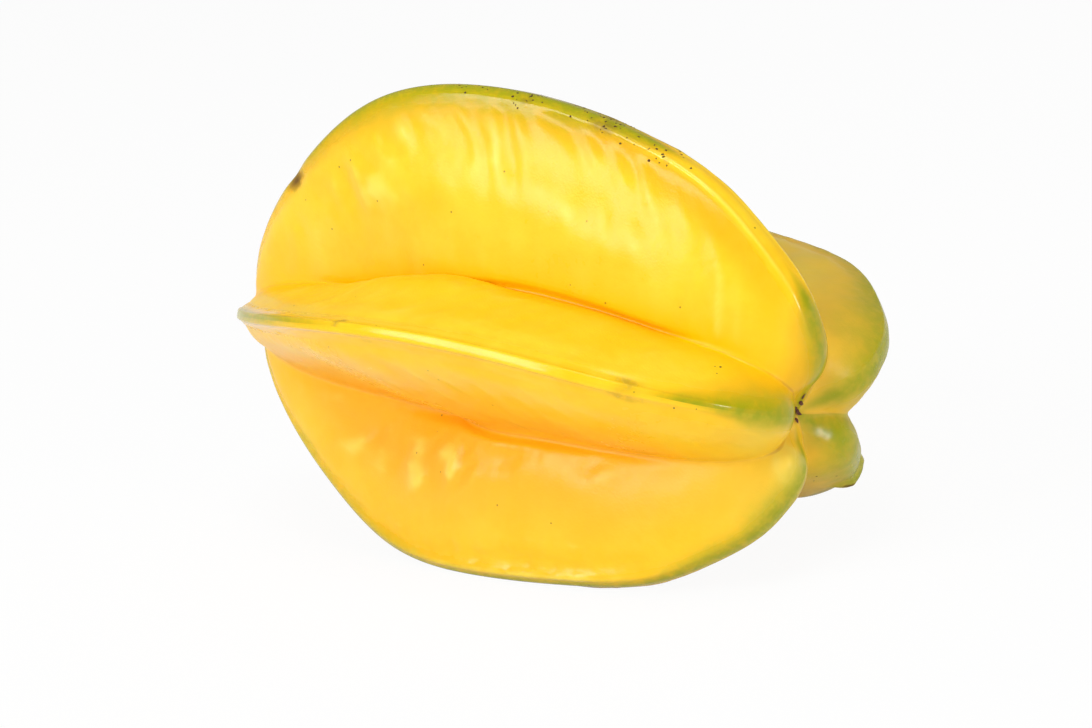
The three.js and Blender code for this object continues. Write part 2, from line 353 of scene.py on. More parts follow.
# Kinds of a group's sockets that aren't plain numbers.
SOCKET_KINDS = {"Geometry": "Geometry", "Material": "Material", "Centre": "Vector", "Seed": "Int"}


def hex_rgb(text):
    """sRGB hex colour to linear red, green, blue and full alpha."""
    parts = [int(text[i : i + 2], 16) / 255 for i in (1, 3, 5)]
    return [p / 12.92 if p <= 0.04045 else ((p + 0.055) / 1.055) ** 2.4 for p in parts] + [1.0]


def add_node(tree, kind, *inputs, **named):
    """Adds a node to a tree, and returns its first output in use.

    The kind is a node's type, a name in KINDS, a node group, or in capitals the operation of a
    Math node, or of a Vector Math node after "VECTOR ". Sockets and values fill the inputs in use
    in order, and None leaves one alone. A named value is a setting, or where its name starts with
    a capital an input, with _ for a space.
    """
    settings = {name: value for name, value in named.items() if name[0].islower()}
    if isinstance(kind, bpy.types.NodeTree):
        settings["node_tree"] = kind
        kind = "GeometryNodeGroup"
    elif kind in KINDS:
        kind, usual = KINDS[kind]
        settings.update(usual)
    elif kind.isupper():
        settings["operation"] = kind.removeprefix("VECTOR ")
        kind = "ShaderNodeVectorMath" if kind.startswith("VECTOR ") else "ShaderNodeMath"
    node = tree.nodes.new(kind)
    for name, value in settings.items():
        setattr(node, name, value)
    pairs = list(zip([socket for socket in node.inputs if socket.enabled], inputs))
    for name, value in named.items():
        if name[0].isupper():
            pairs.append((node.inputs[name.replace("_", " ")], value))
    for socket, value in pairs:
        if isinstance(value, bpy.types.NodeSocket):
            tree.links.new(value, socket)
        elif value is not None:
            socket.default_value = value
    return next((socket for socket in node.outputs if socket.enabled), None)


def new_group(name, inputs, outputs):
    """A geometry node group with its named sockets; also the function that adds its nodes, and its
    input sockets."""
    tree = bpy.data.node_groups.new(name, "GeometryNodeTree")
    for names, way in ((inputs, "INPUT"), (outputs, "OUTPUT")):
        for title in names.split(", "):
            kind = "NodeSocket" + SOCKET_KINDS.get(title, "Float")
            tree.interface.new_socket(title, in_out=way, socket_type=kind)
    entry = tree.nodes.new("NodeGroupInput")
    return tree, partial(add_node, tree), {s.name: s for s in entry.outputs if s.name}


def end_tree(add, geometry, material):
    """Ends a tree with instances made real, smooth shading and the material."""
    geometry = add("GeometryNodeRealizeInstances", geometry)
    geometry = add("GeometryNodeSetShadeSmooth", geometry)
    add("NodeGroupOutput", add("GeometryNodeSetMaterial", geometry, None, material))


def product(add, *values):
    """The product of some values at a point."""
    return reduce(partial(add, "MULTIPLY"), values)


def soft_bands(add, measured, table):
    """For each row of a table of soft limits, how far its form has come at a point."""
    return {
        name: add("STEP", measured[what], none * MM, full * MM)
        for name, (what, none, full) in table.items()
    }


def spline_through(stations, at):
    """Values at the angles "at" (radians) of the clamped cubic spline through the stations."""
    x = np.radians([s[0] for s in stations])
    y = np.array([s[1] for s in stations], float)
    h = np.diff(x)
    rise = np.diff(y) / h
    system = np.eye(len(x))
    right = np.zeros(len(x))
    for i in range(1, len(x) - 1):
        system[i, i - 1 : i + 2] = 1 / h[i - 1], 2 * (1 / h[i - 1] + 1 / h[i]), 1 / h[i]
        right[i] = 3 * (rise[i - 1] / h[i - 1] + rise[i] / h[i])
    slope = np.linalg.solve(system, right)
    i = np.clip(np.searchsorted(x, at) - 1, 0, len(h) - 1)
    t = (at - x[i]) / h[i]
    bend = (1 - t) * (slope[i] - rise[i]) - t * (slope[i + 1] - rise[i])
    return y[i] + h[i] * t * rise[i] + h[i] * t * (1 - t) * bend


def profile(add, share, stations, top, unit):
    """A profile's value at a share of the way from the stem end to the blossom tip."""
    value = add("ShaderNodeFloatCurve", 1.0, share)
    points = value.node.mapping.curves[0].points
    places = np.linspace(0, 1, CURVE_POINTS)
    heights = spline_through(stations, places * math.pi) / top
    for index, (place, height) in enumerate(zip(places, heights)):
        if index < 2:
            points[index].location = (place, height)
        else:
            points.new(place, height)
    value.node.mapping.update()
    return add("MULTIPLY", value, top * unit)


def grow(name, mesh, tree, **values):
    """A new object whose plain mesh is what a node tree makes of a mesh. The tree's inputs are
    given by their names, with _ for a space."""
    scene = bpy.context.scene
    obj = bpy.data.objects.new("cage", mesh)
    scene.collection.objects.link(obj)
    modifier = obj.modifiers.new(tree.name, "NODES")
    modifier.node_group = tree
    for item in tree.interface.items_tree:
        title = item.name.replace(" ", "_")
        if item.in_out == "INPUT" and title in values:
            modifier[item.identifier] = values[title]
    graph = bpy.context.evaluated_depsgraph_get()
    graph.update()
    result = bpy.data.meshes.new_from_object(obj.evaluated_get(graph), depsgraph=graph)
    result.name = name
    made = bpy.data.objects.new(name, result)
    scene.collection.objects.link(made)
    bpy.data.objects.remove(obj)
    return made


def ring_mesh(polar, around, extra):
    """A closed mesh of rings between two poles, from arrays of angles with one row per ring.

    The first and last rows hold the two poles. Point attributes "polar" and "around", and each
    array in extra, go with the points; their places come later from a node tree.
    """
    rows, columns = polar.shape

    def pick(values):
        return np.concatenate([values[:1, 0], values[1:-1].ravel(), values[-1:, 0]])

    index = 1 + np.arange((rows - 2) * columns).reshape(rows - 2, columns)
    turned = np.roll(index, -1, axis=1)
    last = (rows - 2) * columns + 1
    quads = np.stack([index[:-1], turned[:-1], turned[1:], index[1:]], axis=-1).reshape(-1, 4)
    first_cap = np.stack([np.zeros(columns, int), turned[0], index[0]], axis=-1)
    last_cap = np.stack([np.full(columns, last), index[-1], turned[-1]], axis=-1)
    out = np.sin(pick(polar))
    turn = pick(around)
    points = np.stack([np.cos(pick(polar)), out * np.sin(turn), out * np.cos(turn)], axis=-1)
    mesh = bpy.data.meshes.new("rings")
    faces = first_cap.tolist() + quads.tolist() + last_cap.tolist()
    mesh.from_pydata(points.tolist(), [], faces)
    for key, values in {"polar": polar, "around": around, **extra}.items():
        attribute = mesh.attributes.new(key, "FLOAT", "POINT")
        attribute.data.foreach_set("value", pick(values).astype(np.float32))
    return mesh


def finish_piece(obj, node, material):
    """Gives a finished piece its material and ties it to the frame."""
    obj.data.materials.clear()
    obj.data.materials.append(material)
    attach(obj, "root")
    if node:
        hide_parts(node)


# ------------------------------------------------------------------ sizes and colours


def length(name, description, default_mm, high_mm):
    """A length that a user may change, given in millimetres."""
    return bpy.props.FloatProperty(
        name=name, description=description, default=default_mm * MM, min=0.0,
        max=high_mm * MM, subtype="DISTANCE", unit="LENGTH", precision=5,
    )


def colour(name, description, default_hex):
    """A colour that a user may change, given as sRGB hex."""
    return bpy.props.FloatVectorProperty(
        name=name, description=description, default=hex_rgb(default_hex), size=4,
        min=0.0, max=1.0, subtype="COLOR",
    )


class StarFruitSizes(bpy.types.PropertyGroup):
    """Sizes that a user would change."""

    bead_inset: length("Bead inset", "How far a rib's flank stops short of its edge", 0.55, 3)
    bead_blend: length("Bead blend", "Softness of the line under a rib's bead", 1.35, 5)
    stem_dip: bpy.props.FloatProperty(
        name="Stem dip", description="How far the stem end lies lower than the centre",
        default=math.radians(4.2), min=-0.5, max=0.5, subtype="ANGLE", unit="ROTATION",
    )
    ripple_height: length("Ripple height", "Height of the swellings across a rib's flank", 0.15, 5)
    ripple_spacing: length("Ripple spacing", "Distance between swellings along a rib", 5.6, 20)
    ripple_length: length("Ripple length", "Reach of a swelling down a rib's flank", 7, 40)
    ripple_sweep: length("Ripple sweep", "How far swellings sweep back near the edge", 12, 40)
    channel_depth: length("Channel depth", "Depth of the hollow under a rib's bead", 0.4, 2)
    shoulder_height: length("Shoulder height", "Height of the shoulder on a rib's bead", 0.3, 2)
    ridge_height: length("Ridge height", "Height of the narrow ridge on a rib's edge", 0.55, 2)
    wrinkle_height: length("Wrinkle height", "Height of the wrinkles under a bead", 0.9, 2)
    dimple_depth: length("Dimple depth", "Depth of the shallow dimples of the flanks", 0.22, 1)
    wave_height: length("Wave height", "Broad unevenness of the whole skin", 0.5, 3)
    wave_size: length("Wave size", "Width of the broad unevenness", 17, 60)
    seed: bpy.props.IntProperty(name="Seed", description="Seed of the unevenness", default=4)
    rows: bpy.props.IntProperty(
        name="Rows", description="Rings of the skin from stem to blossom", default=270, min=60,
    )
    columns: bpy.props.IntProperty(
        name="Columns", description="Columns of the skin on each rib", default=70, min=12,
    )


class StarFruitColours(bpy.types.PropertyGroup):
    """Colours that a user would change."""

    flank: colour("Flank", "Ripe golden yellow of a rib's side", "#FDC817")
    flank_pale: colour("Pale flank", "Paler patches of a rib's side", "#FDD12A")
    # Painted shade of the sides that face the floor, which get less light and warm light bounced
    # from it.
    peach: colour("Peach", "Orange yellow of the sides that face the floor", "#FFB92E")
    # Valley and low valley: partly the flesh's deeper tone, partly painted shade and warm bounce
    # light in the valleys.
    valley: colour("Valley", "Deeper yellow between the ribs", "#FFC600")
    low_valley: colour("Low valley", "Orange between the lower ribs", "#FFB412")
    # Painted shade in the crease where two ribs meet.
    crease: colour("Crease", "Brownish orange line where two ribs meet", "#D98508")
    # Partly real brown skin by the stem, partly painted shade in the creases.
    stem_line: colour("Stem line", "Reddish brown of the creases by the stem", "#8C4008")
    # Painted highlight laid on the raised crests of the swellings.
    rim: colour("Rim", "Pale crests of the swellings", "#FFEE6E")
    # Browner gold, partly the skin's tone and partly painted shade in the hollow under the bead.
    channel: colour("Channel", "Brownish gold of the hollow under the bead", "#DFA400")
    green: colour("Green", "Unripe green along the edges", "#929C00")
    # On the far ribs this duller olive yellow is partly painted shade of their sides away from the
    # lamps.
    shoulder: colour("Shoulder", "Olive yellow of the stem end", "#E2C44A")
    scar: colour("Scar", "Brown healed skin", "#6B4A16")
    pore: colour("Pore", "Dark dots of the skin's pores", "#8A6A12")
    calyx: colour("Calyx", "Dried maroon calyx", "#3A1410")
    calyx_pale: colour("Pale calyx", "Worn tips of the calyx", "#6E3A22")
    floor: colour("Floor", "Pale floor", "#F4F4F2")
    floor_fibre: colour("Floor fibre", "Slightly darker fibres of the floor", "#E7E7E7")


class StarFruitSettings(bpy.types.PropertyGroup):
    """All settings of the star fruit."""

    sizes: bpy.props.PointerProperty(type=StarFruitSizes)
    colours: bpy.props.PointerProperty(type=StarFruitColours)


# ------------------------------------------------------------------ node trees of the shape


def rib_group():
    """Radius of one rib taken alone, for a direction from the centre."""
    tree, add, given = new_group(
        "Rib",
        "Polar, Around, Edge around, Height, Lean, Twist, Girth, End turn, Bead inset, Bead blend",
        "Radius, Reach, In plane, Side",
    )
    cos_polar = add("COSINE", given["Polar"])
    sin_polar = add("SINE", given["Polar"])
    # The edge turns about the core towards both ends.
    turn = add("ADD", given["Twist"], add("MULTIPLY", cos_polar, given["End turn"]))
    edge = add("MULTIPLY_ADD", cos_polar, turn, given["Edge around"])
    off = add("SUBTRACT", given["Around"], edge)
    # Direction in the rib's own plane: up from the core, along it, and out to the side.
    up = add("MULTIPLY", sin_polar, add("COSINE", off))
    up_only = add("MAXIMUM", up, 0.0)
    across = add("MULTIPLY", sin_polar, add("SINE", off))
    side = add("VECTOR LENGTH", add("VECTOR", across, add("MINIMUM", up, 0.0)))
    in_plane = add("VECTOR LENGTH", add("VECTOR", cos_polar, up_only))
    angle = add("ARCTAN2", up_only, cos_polar)
    # The common profiles at that angle, with this rib's own height, lean and girth.
    share = add("DIVIDE", angle, math.pi)
    reach, half, power, bead = (profile(add, share, *common) for common in RIB_PROFILES)
    swell = add("SINE", angle)
    lean = add("MULTIPLY", add("COSINE", angle), swell)
    taller = add("MULTIPLY_ADD", add("SUBTRACT", given["Height"], 1.0), swell, 1.0)
    reach = add("MULTIPLY", reach, taller)
    reach = add("MULTIPLY", reach, add("MULTIPLY_ADD", given["Lean"], lean, 1.0))
    half = add("MULTIPLY", half, given["Girth"])
    # The flank is a lens: a power sum of the in-plane and sideways shares.
    inset_reach = add("SUBTRACT", reach, given["Bead inset"])
    plane_power = add("POWER", add("DIVIDE", in_plane, inset_reach), power)
    side_power = add("POWER", add("DIVIDE", side, half), power)
    flank = add("POWER", add("ADD", plane_power, side_power), add("DIVIDE", -1.0, power))
    # The bead is a round along the edge: the far crossing of the ray with a circle.
    seat = add("SUBTRACT", reach, bead)
    square = add("MULTIPLY_ADD", side, side, add("MULTIPLY", in_plane, in_plane))
    reach_out = add("MULTIPLY", in_plane, seat)
    short = add("SUBTRACT", add("MULTIPLY", seat, seat), add("MULTIPLY", bead, bead))
    lost = add("MULTIPLY", square, short)
    inside = add("SUBTRACT", add("MULTIPLY", reach_out, reach_out), lost)
    chord = add("SQRT", add("MAXIMUM", inside, 0.0))
    round_radius = add("DIVIDE", add("ADD", reach_out, chord), square)
    round_radius = add("MULTIPLY", round_radius, add("GREATER_THAN", inside, 0.0))
    radius = add("SMOOTH_MAX", flank, round_radius, given["Bead blend"])
    add("NodeGroupOutput", radius, reach, in_plane, side)
    return tree


def skin_group():
    """Radius of the whole skin for a direction. Below edge: how far the point lies under its rib's
    edge. Side: its distance from the rib's middle plane. Valley: how much further its own rib
    reaches than the next one does, 0 on the valley line. Owner: its rib's number."""
    tree, add, given = new_group(
        "Skin radius",
        "Polar, Around, Bead inset, Bead blend",
        "Radius, Below edge, Side, Valley, Owner",
    )
    polar, around, inset, blend = given.values()
    rib_tree = rib_group()
    end_turn = math.radians(END_TURN_DEG)
    ribs = [
        add(
            rib_tree, polar, around, math.radians(rib["around"]), rib["height"], rib["lean"],
            math.radians(rib["twist"]), rib["girth"], end_turn, inset, blend,
        ).node.outputs
        for rib in RIBS
    ]
    # The two furthest ribs, which run together in the valley between them.
    first = ribs[0]["Radius"]
    second = 0.0
    owner = 0.0
    for number, rib in enumerate(ribs[1:], start=1):
        other = rib["Radius"]
        change = add("SUBTRACT", number, owner)
        owner = add("MULTIPLY_ADD", add("GREATER_THAN", other, first), change, owner)
        second = add("MAXIMUM", second, add("MINIMUM", first, other))
        first = add("MAXIMUM", first, other)
    softness = profile(add, add("DIVIDE", polar, math.pi), VALLEY_SOFTNESS_MM, 20, MM)
    valley = add("SUBTRACT", first, second)
    gap = add("MAXIMUM", add("SUBTRACT", softness, valley), 0.0)
    fill = add("DIVIDE", add("MULTIPLY", gap, gap), add("MULTIPLY", softness, 4.0))
    radius = add("ADD", first, fill)
    heights = [add("MULTIPLY", rib["In plane"], radius) for rib in ribs]
    unders = [add("SUBTRACT", rib["Reach"], height) for rib, height in zip(ribs, heights)]
    besides = [add("MULTIPLY", rib["Side"], radius) for rib in ribs]
    below, side = (reduce(partial(add, "MINIMUM"), values) for values in (unders, besides))
    add("NodeGroupOutput", radius, below, side, valley, owner)
    return tree


def spot_group():
    """How strongly one spot of the skin shows: a soft oval on a given rib and flank."""
    tree, add, given = new_group(
        "Skin spot", "Below edge, Rib, Flank, Polar, Depth, Half length, Half width", "Share"
    )
    polar, rib, flank = (add("NAMED", name) for name in ("polar", "rib", "flank"))
    along = add("MULTIPLY", add("SUBTRACT", polar, given["Polar"]), EDGE_RADIUS)
    along = add("DIVIDE", along, given["Half length"])
    down = add("SUBTRACT", given["Below edge"], given["Depth"])
    down = add("DIVIDE", down, given["Half width"])
    oval = add("MULTIPLY_ADD", down, down, add("MULTIPLY", along, along))
    share = add("EXPONENT", add("MULTIPLY", oval, -1.0))
    # A spot on the crest has flank 0 and shows on both sides of the rib.
    on_rib = add("COMPARE", rib, given["Rib"], 0.25)
    on_flank = add("GREATER_THAN", add("MULTIPLY", flank, given["Flank"]), -0.5)
    add("NodeGroupOutput", product(add, share, on_rib, on_flank))
    return tree


def spot_shares(add, below, spots):
    """For each spot, how strongly it shows at a point, and what else its row holds."""
    group = spot_group()
    for rib, flank, degrees, depth, half_length, half_width, *rest in spots:
        sizes = (depth * MM, half_length * MM, half_width * MM)
        yield add(group, below, rib, flank, math.radians(degrees), *sizes), *rest


# The user's sizes that the skin's tree takes in.
SKIN_SIZES = [name for name in StarFruitSizes.__annotations__ if name not in ("rows", "columns")]


def skin_tree():
    """The berry's skin: the ribs' own shape, then the swellings, hollows and marks on it."""
    sizes = (name.replace("_", " ").capitalize() for name in SKIN_SIZES)
    inputs = ", ".join(("Geometry", "Centre", *sizes, "Material"))
    tree, add, given = new_group("Star fruit skin", inputs, "Geometry")
    at = {name: add("NAMED", name) for name in ("polar", "around", "rib", "flank", *VARYING)}
    shape = add(
        skin_group(), at["polar"], at["around"], given["Bead inset"], given["Bead blend"]
    ).node.outputs
    below = shape["Below edge"]
    valley = shape["Valley"]
    # These are kept on the skin for its material and its scabs.
    crest = add("MULTIPLY_ADD", add("MAXIMUM", below, 0.0), CREST_SLOPE, shape["Side"])
    geometry = given["Geometry"]
    for name, value in (("below", below), ("valley", valley), ("crest", crest)):
        geometry = add("STORE", geometry, True, name, value)
    # Each point goes out along its two angles, and the stem end is dipped.
    cos_polar = add("COSINE", at["polar"])
    out = add("SINE", at["polar"])
    side = add("MULTIPLY", out, add("SINE", at["around"]))
    up = add("MULTIPLY", out, add("COSINE", at["around"]))
    dipped = add(
        "ShaderNodeVectorRotate", add("VECTOR", cos_polar, side, up), Angle=given["Stem dip"],
        rotation_type="Y_AXIS",
    )
    geometry = add("PLACE", geometry, None, add("VECTOR SCALE", dipped, shape["Radius"]))
    under_bead = add("MAXIMUM", add("MULTIPLY_ADD", at["deeper"], -MM, below), 0.0)
    measured = {"crest": crest, "below": below, "under_bead": under_bead, "valley": valley}
    band = soft_bands(add, measured, BANDS_MM)

    # Swellings run down each flank from the bead, square to the core, and near the edge they
    # sweep back towards the blossom end.
    fade = add("EXPONENT", add("DIVIDE", below, -SWEEP_DEPTH))
    along = add("MULTIPLY", cos_polar, shape["Radius"])
    along = add("MULTIPLY_ADD", fade, given["Ripple sweep"], along)
    spacing = add("MULTIPLY", given["Ripple spacing"], at["ripple_width"])
    phase = add("DIVIDE", along, spacing)
    down = add("DIVIDE", below, given["Ripple length"])
    apart = add("MULTIPLY_ADD", at["flank"], APART_FLANKS, given["Seed"])
    apart = add("MULTIPLY_ADD", at["rib"], APART_RIBS, apart)
    apart_too = add("ADD", apart, APART_KINDS)
    # Their spacing is uneven, they are steeper towards the stem, and each swells and dies away.
    jitter = add("NOISE", add("VECTOR", phase, down, apart), 0.6, 1.0)
    phase = add("MULTIPLY_ADD", jitter, JITTER, phase)
    turn = add("MULTIPLY", phase, -2 * math.pi)
    turn = add("MULTIPLY_ADD", add("SINE", turn), SKEW, turn)
    place = add("VECTOR", phase, down, apart_too)
    strength = add("STEP", add("NOISE", place, 0.9, 1.0), *SWELL_LIMITS)
    swell = add("MULTIPLY", add("SINE", turn), strength)
    # Softer lumps lie among them.
    lumps = add("SUBTRACT", add("NOISE", place, 1.0, 1.0), 0.5)
    ripple = add("MULTIPLY_ADD", lumps, LUMP_SHARE, swell)
    foot = add("MULTIPLY_ADD", band["ripple_foot"], 1 - FOOT_SHARE, FOOT_SHARE)
    ripple = product(
        add, ripple, given["Ripple height"], band["ripple_top"], foot, band["ripple_valley"],
        at["ripple"], at["ripple_width"],
    )

    # Fine wrinkles run along the foot of the bead, and shallow dimples cover the flanks.
    place = add("VECTOR", along, below, apart)
    wrinkles = add("NOISE", add("VECTOR MULTIPLY", place, WRINKLES), 1.0, 2.0, 0.55)
    wrinkles = product(
        add, add("SUBTRACT", wrinkles, 0.5), band["near_bead"], band["past_bead"], at["wrinkle"],
        given["Wrinkle height"],
    )
    dimples = add("NOISE", add("VECTOR MULTIPLY", place, DIMPLES), 1.0, 1.0)
    dimples = add("MULTIPLY", add("SUBTRACT", dimples, 0.5), band["off_bead"])

    # A shallow hollow lies along the foot of the bead, and the bead has a shoulder above it.
    head = add("DIVIDE", crest, add("MULTIPLY", at["hollow_head"], MM))
    foot = add("DIVIDE", crest, add("MULTIPLY", at["hollow_foot"], MM))
    start = add("STEP", head, *HOLLOW_START)
    hollow = product(add, start, add("STEP", foot, *HOLLOW_END), at["channel"])
    geometry = add("STORE", geometry, True, "hollow", hollow)
    relief = add("SUBTRACT", ripple, add("MULTIPLY", hollow, given["Channel depth"]))
    relief = add("ADD", relief, wrinkles)
    shoulder = product(add, band["shoulder_in"], band["shoulder_out"], at["shoulder"])
    relief = add("MULTIPLY_ADD", shoulder, given["Shoulder height"], relief)
    relief = add("MULTIPLY_ADD", dimples, given["Dimple depth"], relief)

    # Some ribs come to a narrow ridge at the edge, with the flanks drawn in beside it.
    ridge = add("MULTIPLY_ADD", add("MULTIPLY", crest, crest), RIDGE_FLATNESS, 1.0)
    ridge = add("MULTIPLY", ridge, band["ridge_side"])
    drawn = add("MULTIPLY", band["drawn_in"], band["drawn_out"])
    ridge = add("MULTIPLY_ADD", drawn, -DRAWN_IN, ridge)
    ridge = product(add, ridge, at["ridge"], given["Ridge height"])
    # A flank may bulge out over its valley.
    fold = product(add, at["fold"], band["low_flank"], band["past_valley"])
    form = add("MULTIPLY_ADD", fold, MM, ridge)
    # The whole berry is a little uneven.
    per_wave = add("DIVIDE", 1.0, given["Wave size"])
    place = add("VECTOR SCALE", add("GeometryNodeInputPosition"), per_wave)
    waves = add("ShaderNodeTexNoise", place, given["Seed"], 1.0, 1.0, noise_dimensions="4D")
    waves = add("SUBTRACT", waves, 0.5)
    waves = product(add, waves, band["off_floor"], band["off_valley"], given["Wave height"])
    form = add("MULTIPLY_ADD", waves, 2.0, form)

    # Scars, nicks, the knob and the spur are soft ovals, each sunk or raised and coloured.
    scar = 0.0
    for share, raised, brown in spot_shares(add, below, MARKS):
        relief = add("MULTIPLY_ADD", share, raised * MM, relief)
        scar = add("MULTIPLY_ADD", share, brown, scar)
    for name, value in (("relief", relief), ("scar", scar)):
        geometry = add("STORE", geometry, True, name, value)
    push = add("VECTOR SCALE", add("GeometryNodeInputNormal"), add("ADD", relief, form))
    geometry = add("PLACE", geometry, None, None, push)

    # The centre is put in its place, and the two lower edges are flattened on the floor.
    placed = add("VECTOR ADD", add("GeometryNodeInputPosition"), given["Centre"])
    on_ground = add("VECTOR MAXIMUM", placed, (-1.0, -1.0, 0.0))
    end_tree(add, add("PLACE", geometry, None, on_ground), given["Material"])
    return tree


# ------------------------------------------------------------------ the berry's skin


def edge_around(rib, polar):
    """Where a rib's edge stands about the core, at the angle polar."""
    along = np.cos(polar)
    turn = rib["twist"] * along + END_TURN_DEG * along**2
    return np.radians(rib["around"] + turn)


def valley_lines(row_polar, edges, sizes):
    """Where each valley lies about the core: the place between two edges where both ribs reach
    equally far, found on a trial mesh of the same rule."""
    share = np.linspace(0, 1, TRIAL_COLUMNS, endpoint=False)
    gaps = []
    for i, edge in enumerate(edges):
        after = edges[i + 1] if i + 1 < len(edges) else edges[0] + 2 * math.pi
        gaps.append(edge[:, None] + (after - edge)[:, None] * share[None, :])
    around = np.concatenate(gaps, axis=1)
    polar = np.repeat(row_polar[:, None], around.shape[1], axis=1)
    tree, add, given = new_group("Trial", "Geometry", "Geometry")
    shape = add(
        skin_group(), add("NAMED", "polar"), add("NAMED", "around"), sizes.bead_inset,
        sizes.bead_blend * BLEND_MATCH,
    ).node.outputs
    geometry = given["Geometry"]
    for name in ("Valley", "Owner"):
        geometry = add("STORE", geometry, True, name, shape[name])
    add("NodeGroupOutput", geometry)
    trial = grow("trial", ring_mesh(polar, around, {}), tree)
    inner = len(row_polar) - 2
    values = []
    for name in ("Valley", "Owner"):
        read = np.zeros(len(trial.data.vertices), np.float32)
        trial.data.attributes[name].data.foreach_get("value", read)
        values.append(read[1:-1].reshape(inner, len(RIBS), TRIAL_COLUMNS))
    bpy.data.objects.remove(trial)
    valley, owner = values
    row = np.arange(inner)
    lines = []
    for i in range(len(RIBS)):
        own = np.where(np.round(owner[:, i]) == i, 1.0, -1.0) * valley[:, i]
        last = np.argmax(own < 0, axis=1) - 1
        before = own[row, last]
        at = (last + before / (before - own[row, last + 1])) / TRIAL_COLUMNS
        lines.append(np.concatenate([at[:1], at, at[-1:]]))
    return lines


def skin_cage(sizes):
    """Rings about the core whose columns gather at the ribs' edges and valleys, with each
    column's rib and flank and the amounts that vary along a rib."""
    full_turn = 2 * math.pi
    u = np.linspace(0, 1, sizes.rows)
    row_polar = math.pi * u - END_CROWDING / 2 * np.sin(full_turn * u)
    edges = [edge_around(rib, row_polar) for rib in RIBS]
    valleys = valley_lines(row_polar, edges, sizes)
    half = sizes.columns // 2
    share = (np.arange(half) / half) ** EDGE_CROWDING
    share = share - VALLEY_CROWDING / full_turn * np.sin(full_turn * share)
    columns = []
    for i, edge in enumerate(edges):
        last = edges[i - 1] if i else edges[-1] - full_turn
        following = edges[i + 1] if i + 1 < len(edges) else edges[0] + full_turn
        valley_before = (1 - valleys[i - 1]) * (last - edge)
        valley_after = valleys[i] * (following - edge)
        # From the valley before the edge to the edge, and on towards the next valley.
        columns.append((edge + valley_before, i, -1.0))
        columns += [(edge + valley_before * t, i, -1.0) for t in share[:0:-1]]
        columns += [(edge + valley_after * t, i, 1.0) for t in share]
    around = np.stack([c[0] for c in columns], axis=1)
    polar = np.repeat(row_polar[:, None], around.shape[1], axis=1)
    rib, flank = (np.tile(np.array([c[k] for c in columns], float), (len(u), 1)) for k in (1, 2))
    extra = {"rib": rib, "flank": flank}
    for name, rows in VARYING.items():
        extra[name] = np.zeros_like(polar)
        for i, row in enumerate(rows):
            for side, amount in zip((-1, 1), row if isinstance(row, tuple) else (row, row)):
                here = (rib == i) & (flank == side)
                if isinstance(amount, list):
                    amount = spline_through(amount, polar[here])
                extra[name][here] = amount
    return ring_mesh(polar, around, extra)


class STAR_FRUIT_OT_skin(bpy.types.Operator):
    """Build the berry's skin: five ribs about one core, with their swellings and marks"""

    bl_idname = "star_fruit.skin"
    bl_label = "Skin"

    def execute(self, context):
        settings = context.scene.star_fruit
        sizes = settings.sizes
        material = skin_material(settings.colours)
        values = {name.capitalize(): getattr(sizes, name) for name in SKIN_SIZES}
        values["Bead_blend"] *= BLEND_MATCH
        skin = grow(
            "star_fruit_skin", skin_cage(sizes), skin_tree(), Centre=CENTRE, Material=material,
            **values,
        )
        finish_piece(skin, BERRY_NODE, material)
        return {"FINISHED"}


def scab_tree():
    """Small flat grains of cork, scattered over patches of the skin."""
    tree, add, given = new_group(
        "Corky scabs", "Geometry, Smallest, Largest, Seed, Material", "Geometry"
    )
    smallest = given["Smallest"]
    largest = given["Largest"]
    seed = given["Seed"]
    density = 0.0
    for share, number in spot_shares(add, add("NAMED", "below"), SCAB_PATCHES):
        density = add("MULTIPLY_ADD", share, number / (10 * MM) ** 2, density)
    points = add("GeometryNodeDistributePointsOnFaces", given["Geometry"], None, density, seed)
    low = add("VECTOR", smallest, smallest, smallest)
    high = add("VECTOR", largest, largest, smallest)
    size = add("RANDOM", low, high, None, seed)
    flat = add("VECTOR MULTIPLY", size, (1.0, 1.0, SCAB_FLATNESS))
    spin = add("RANDOM", None, (0.0, 0.0, 2 * math.pi), None, seed)
    turned = add(
        "FunctionNodeRotateRotation", points.node.outputs["Rotation"], spin,
        rotation_space="LOCAL",
    )
    grain = add("GeometryNodeMeshIcoSphere", 1.0, 1)
    grains = add(
        "GeometryNodeInstanceOnPoints", points, Instance=grain, Rotation=turned, Scale=flat
    )
    end_tree(add, grains, given["Material"])
    return tree


class STAR_FRUIT_OT_scabs(bpy.types.Operator):
    """Scatter corky scabs over the rib edges; needs the skin"""

    bl_idname = "star_fruit.scabs"
    bl_label = "Scabs"

    def execute(self, context):
        settings = context.scene.star_fruit
        material = scab_material(settings.colours)
        ground = bpy.data.objects["star_fruit_skin"].data.copy()
        scabs = grow(
            "corky_scabs", ground, scab_tree(), Smallest=SCAB_SIZE[0], Largest=SCAB_SIZE[1],
            Seed=settings.sizes.seed, Material=material,
        )
        finish_piece(scabs, None, material)
        return {"FINISHED"}


# ------------------------------------------------------------------ the calyx


